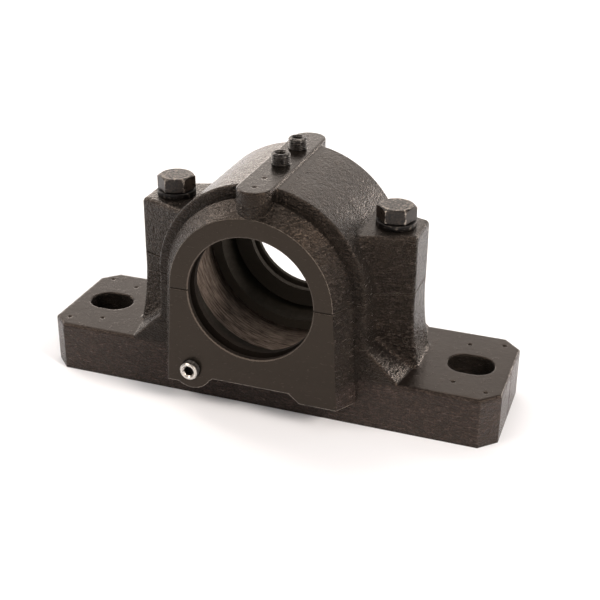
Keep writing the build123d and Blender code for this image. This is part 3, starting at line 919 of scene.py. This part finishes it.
@dataclass
class SpringWasher:
    """Flattened spring washer: a ring of rounded oblong section, cut through on a slant."""

    node: str
    x: float
    seat: float = 101.5
    outer: float = 10.5
    inner: float = 6.25
    thickness: float = 3.0
    gap: float = 1.4
    slant: float = 35.0
    corner: float = 0.35
    sections: int = 120
    # Lighter bare steel on the outer rim, a painted highlight
    edge_glint_width: float = 0.3
    rim_wear: float = 0.4
    hidden_wear: float = 0.1

    def build(self) -> bpy.types.Object:
        """Build the washer as one closed surface along its ring.

        Returns:
            The washer. Its section is an oblong with quarter-circle corners, carried round the bolt
            from one side of the slanting cut to the other. A section point at radius r and height
            h starts behind the bolt, turned on by the angle whose sine is half the gap plus the
            lean at h, over r. The lean is the height above the middle times the slant's tangent.
        """
        turn = np.linspace(0, math.pi / 2, 4) + np.arange(4)[:, None] * math.pi / 2
        outer, inner = self.outer - self.corner, self.inner + self.corner
        high, low = self.thickness - self.corner, self.corner
        centre_radius = np.array([outer, inner, inner, outer])[:, None]
        centre_height = np.array([high, high, low, low])[:, None]
        radius = (centre_radius + self.corner * np.cos(turn)).reshape(-1)
        height = (centre_height + self.corner * np.sin(turn)).reshape(-1)
        lean = math.tan(math.radians(self.slant)) * (height - self.thickness / 2)
        first = math.pi / 2 + np.arcsin((self.gap / 2 + lean) / radius)
        last = 2.5 * math.pi + np.arcsin((lean - self.gap / 2) / radius)
        share = np.linspace(0, 1, self.sections)[:, None]
        angle = first + share * (last - first)
        rows = np.stack(
            [
                self.x + radius * np.cos(angle),
                radius * np.sin(angle),
                np.broadcast_to(self.seat + height, angle.shape),
            ],
            axis=-1,
        )
        # The outer rim gets lighter bare steel as a painted highlight
        rim = radius > self.outer - self.edge_glint_width
        wear = np.broadcast_to(np.where(rim, self.rim_wear, self.hidden_wear), angle.shape)
        start, end = rows[0].mean(axis=0), rows[-1].mean(axis=0)
        washer = closed_surface(f"{self.node}_steel", rows, start, end, wear)
        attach(washer, "root")
        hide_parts(self.node)
        log.info("built %s with %d faces", washer.name, len(washer.data.polygons))
        return washer


@dataclass
class SocketPlug:
    """Headless threaded plug with a hexagon socket and a bevelled rim."""

    node: str
    mouth: tuple[float, float, float]
    outward: tuple[float, float, float]
    radius: float = 5.0
    length: float = 13.0
    crown: float = 0.8
    crown_drop: float = 0.42
    tip: float = 0.9
    socket_flats: float = 5.0
    socket_depth: float = 4.6
    socket_mouth: float = 3.5
    pitch: float = 1.0
    thread_share: float = 0.56
    thread_steps: int = 8
    around: int = 96
    rim_wear: float = 0.9
    bevel_wear: float = 0.8
    wall_wear: float = 0.05
    thread_wear: float = 0.42
    crest_depth: float = 0.15
    tip_wear: float = 0.2

    def socket_loops(self, angle: np.ndarray) -> list[Loop]:
        """Work out the loops from the floor of the socket to its mouth.

        Args:
            angle: Directions of a loop's points in radians.

        Returns:
            Radius, height and wear of each loop. The bevel at the mouth is a cone whose radius
            shrinks by its depth, and at each depth the radius is the larger of the cone's and the
            hexagon's.
        """
        flats = hexagon(angle, self.socket_flats)
        deepest = self.socket_mouth - self.socket_flats / 2
        loops = [(flats * share, -self.socket_depth, 0.0) for share in (0.3, 0.7, 1.0)]
        loops += [(flats, -drop, self.wall_wear) for drop in (self.socket_depth * 0.5, deepest + 0.02)]
        for drop in np.linspace(deepest, 0.0, 8):
            cone = np.maximum(flats, self.socket_mouth - drop)
            loops.append((cone, -drop, self.rim_wear * self.bevel_wear))
        return loops

    def outer_loops(self, angle: np.ndarray) -> list[Loop]:
        """Work out the loops over the flat rim and its bevel and down the thread to the tip.

        Args:
            angle: Directions of a loop's points in radians.

        Returns:
            Radius, height and wear of each loop.
        """
        flat_edge = self.radius - self.crown
        rings = np.linspace(self.socket_mouth, flat_edge, 4)[1:]
        loops = [(ring, 0.0, self.rim_wear) for ring in rings]
        loops.append((flat_edge + 0.5 * self.crown, -self.crown_drop * self.crown, self.rim_wear))
        for drop in np.arange(self.crown, self.length - 0.05, self.pitch / self.thread_steps):
            depth = self.thread_share * self.pitch * min(1.0, (drop - self.crown) / self.pitch)
            thread = thread_radius(self.radius, self.pitch, depth, -drop, angle)
            limit = self.radius - self.tip + max(0.0, self.length - drop)
            crest = thread > self.radius - self.crest_depth
            loops.append((np.minimum(thread, limit), -drop, self.thread_wear * crest))
        loops.append((self.radius - self.tip - 0.05, -self.length, self.tip_wear))
        return loops

    def build(self) -> bpy.types.Object:
        """Build the plug as one closed surface round its axis.

        Returns:
            The plug.
        """
        angle = np.linspace(0, 2 * math.pi, self.around, endpoint=False)
        loops = self.socket_loops(angle) + self.outer_loops(angle)
        ends = (-self.socket_depth, -self.length)
        plug = turned_surface(
            f"{self.node}_steel", loops, angle, self.mouth, self.outward, ends, smooth_angle=38.0
        )
        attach(plug, "root")
        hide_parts(self.node)
        log.info("built %s with %d faces", plug.name, len(plug.data.polygons))
        return plug


@dataclass
class Fasteners:
    """Bolts, washers, pins and plugs of the housing."""

    bolt_x: float = 61.6
    left_corner: float = 18.0
    right_corner: float = 11.0
    plug_top: float = 134.0
    plug_front: float = -3.7
    plug_rear: float = 22.0
    drain_x: float = -33.5
    drain_z: float = 24.0
    drain_mouth: float = -53.5

    def build(self) -> None:
        """Build every fastener and give it its steel."""
        black = TurnedSteel(
            "blackened_bolt_steel",
            oxide="#0c0a08",
            oxide_light="#2e2722",
            roughness=0.34,
            patch=1.3,
            spread=1.7,
            height=0.08,
            oxide_metal=0.15,
            sheen_level=0.32,
        ).make()
        spring = TurnedSteel(
            "spring_steel", oxide="#070606", oxide_light="#151211", roughness=0.4, sheen_level=0.25
        ).make()
        plain = TurnedSteel(
            "plain_plug_steel", oxide="#0f0d0c", oxide_light="#26211d", steel="#c9c4be", roughness=0.3
        ).make()
        ground = TurnedSteel(
            "ground_pin_steel", oxide="#8c8782", oxide_light="#a39e98", roughness=0.25, oxide_metal=1.0
        ).make()
        for side, turn, name in ((-1, self.left_corner, "left"), (1, self.right_corner, "right")):
            bolt = CapBolt(f"cap_bolt_{name}", side * self.bolt_x, turn).build()
            bolt.data.materials.append(black)
            washer = SpringWasher(f"spring_washer_{name}", side * self.bolt_x).build()
            washer.data.materials.append(spring)
            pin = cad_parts[f"dowel_pin_{name}"]
            pin.data.materials.clear()
            pin.data.materials.append(ground)
        up, front = (0.0, 0.0, 1.0), (0.0, -1.0, 0.0)
        plugs = (
            SocketPlug("lube_plug_front", (0.0, self.plug_front, self.plug_top), up, rim_wear=0.45),
            SocketPlug("lube_plug_rear", (0.0, self.plug_rear, self.plug_top), up, rim_wear=0.45),
            SocketPlug("drain_plug", (self.drain_x, self.drain_mouth, self.drain_z), front, rim_wear=1.0),
        )
        for plug in plugs:
            plug.build().data.materials.append(plain)


@dataclass
class PhotoCamera:
    """Camera at the photograph's place. Lengths in millimetres, angles in degrees, rest in pixels."""

    azimuth: float = 19.44
    elevation: float = 25.81
    roll: float = 0.52
    distance: float = 625.34
    aside: float = 7.77
    above: float = -10.81
    pivot_height: float = 70.0
    focal: float = 1158.43
    centre_x: float = 297.47
    centre_y: float = 282.31
    image: float = 600.0
    sensor: float = 36.0
    nearest: float = 10.0
    farthest: float = 30000.0

    def place(self) -> None:
        """Make the camera and set it as the scene's.

        The camera looks along minus the direction given by azimuth and elevation. Its right and up
        are turned by the roll, and its place is the pivot moved back and then aside and up.
        """
        a, e, r = (math.radians(v) for v in (self.azimuth, self.elevation, self.roll))
        back = Vector((math.sin(a) * math.cos(e), -math.cos(a) * math.cos(e), math.sin(e)))
        level = (-back).cross(Vector((0, 0, 1))).normalized()
        upright = level.cross(-back)
        right = level * math.cos(r) + upright * math.sin(r)
        up = -level * math.sin(r) + upright * math.cos(r)
        pivot = Vector((0, 0, self.pivot_height))
        spot = pivot + back * self.distance + right * self.aside + up * self.above
        data = bpy.data.cameras.new("photo_camera")
        data.sensor_width = self.sensor
        data.lens = self.focal / self.image * self.sensor
        data.shift_x = (self.image / 2 - self.centre_x) / self.image
        data.shift_y = (self.centre_y - self.image / 2) / self.image
        data.clip_start, data.clip_end = self.nearest * MM, self.farthest * MM
        camera = bpy.data.objects.new("photo_camera", data)
        turned = Matrix((right, up, back)).transposed().to_4x4()
        camera.matrix_world = Matrix.Translation(spot * MM) @ turned
        bpy.context.scene.collection.objects.link(camera)
        bpy.context.scene.camera = camera


@dataclass(frozen=True)
class Softbox:
    """One softbox: where it stands, its width and height in metres and how bright its face is.

    The face's radiance is 1 where it looks white. A lamp's power is its radiance times pi times
    the area of its face.
    """

    name: str
    place: tuple[float, float, float]
    width: float
    height: float
    radiance: float

    def light(self, target: Vector, colour: tuple[float, float, float]) -> None:
        """Hang the lamp and turn it towards the target.

        Args:
            target: Point in metres that the lamp faces.
            colour: Linear colour of its light.
        """
        data = bpy.data.lights.new(self.name, "AREA")
        data.shape, data.size, data.size_y = "RECTANGLE", self.width, self.height
        data.energy = self.radiance * math.pi * self.width * self.height
        data.color = colour
        lamp = bpy.data.objects.new(self.name, data)
        lamp.location = self.place
        lamp.rotation_mode = "QUATERNION"
        lamp.rotation_quaternion = (target - Vector(self.place)).to_track_quat("-Z", "Y")
        bpy.context.scene.collection.objects.link(lamp)


@dataclass
class Studio:
    """Plain pale floor, a sky that is brighter behind than in front, and softboxes.

    Lengths in metres. The sky goes from its front to its rear strength as the direction's Y goes
    through sky_turn, and it is white where the camera sees it.
    """

    floor_size: float = 16.0
    floor: str = "#eff4fb"
    warm: str = "#fff1e5"
    floor_roughness: float = 0.9
    sky_front: float = 0.3
    sky_rear: float = 0.5
    sky_turn: tuple[float, float] = (-0.5, 0.6)
    aim: tuple[float, float, float] = (0.0, 0.0, 0.06)
    lamps: tuple[Softbox, ...] = (
        Softbox("rear_wall", (-0.3, 1.5, 0.72), 2.3, 1.3, 1.1),
        Softbox("over_strip", (-0.28, 0.43, 1.05), 1.0, 0.26, 5.0),
        Softbox("left_front_box", (-0.6, -0.57, 0.84), 0.36, 0.36, 9.0),
        Softbox("left_upper_box", (-0.98, 0.32, 0.7), 0.26, 0.26, 18.0),
        Softbox("right_high_box", (0.5, -0.2, 1.1), 0.3, 0.3, 3.0),
        Softbox("right_side_box", (1.0, -0.4, 0.75), 0.36, 0.36, 34.0),
        Softbox("left_side_box", (-1.25, 0.3, 0.12), 0.5, 0.24, 4.5),
        Softbox("left_rear_box", (-0.85, 1.4, 0.18), 0.8, 0.3, 3.0),
        Softbox("right_rear_box", (1.05, 1.15, 0.06), 1.1, 0.11, 34.0),
        Softbox("front_fill", (-0.3, -1.3, 0.9), 1.8, 0.7, 1.2),
    )

    def build(self) -> None:
        """Make the floor, the world and the lamps."""
        half = self.floor_size / 2
        mesh = bpy.data.meshes.new("studio_floor")
        corners = [(-half, -half, 0.0), (half, -half, 0.0), (half, half, 0.0), (-half, half, 0.0)]
        mesh.from_pydata(corners, [], [(0, 1, 2, 3)])
        floor = bpy.data.objects.new("studio_floor", mesh)
        bpy.context.scene.collection.objects.link(floor)
        material, _, shader = new_material("matt_white_floor")
        shader.inputs["Base Color"].default_value = linear(self.floor)
        shader.inputs["Roughness"].default_value = self.floor_roughness
        shader.inputs["Specular IOR Level"].default_value = 0.0
        mesh.materials.append(material)
        world = bpy.data.worlds.new("studio_world")
        world.use_nodes = True
        tree = world.node_tree
        tree.nodes.clear()
        looking = add_node(tree, "ShaderNodeTexCoord").outputs["Generated"]
        toward = add_node(tree, "ShaderNodeSeparateXYZ", {0: looking}).outputs["Y"]
        room = add_node(
            tree,
            "ShaderNodeMapRange",
            {
                "Value": toward,
                "From Min": self.sky_turn[0],
                "From Max": self.sky_turn[1],
                "To Min": self.sky_front,
                "To Max": self.sky_rear,
            },
        ).outputs[0]
        seen = add_node(tree, "ShaderNodeLightPath").outputs["Is Camera Ray"]
        strength = add_node(tree, MATH, {0: room, 1: seen}, operation="MAXIMUM").outputs[0]
        sky = add_node(tree, "ShaderNodeBackground", {"Strength": strength})
        sky.inputs["Color"].default_value = (1.0, 1.0, 1.0, 1.0)
        add_node(tree, "ShaderNodeOutputWorld", {"Surface": sky.outputs[0]})
        bpy.context.scene.world = world
        for lamp in self.lamps:
            lamp.light(Vector(self.aim), linear(self.warm)[:3])


def main() -> None:
    """Build the scene in order."""
    logging.basicConfig(level=logging.INFO, format="%(name)s: %(message)s")
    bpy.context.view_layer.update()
    PhotoCamera().place()
    Castings().dress()
    Fasteners().build()
    Studio().build()
    bpy.context.scene.view_settings.view_transform = "Standard"


if __name__ == "__main__":
    main()
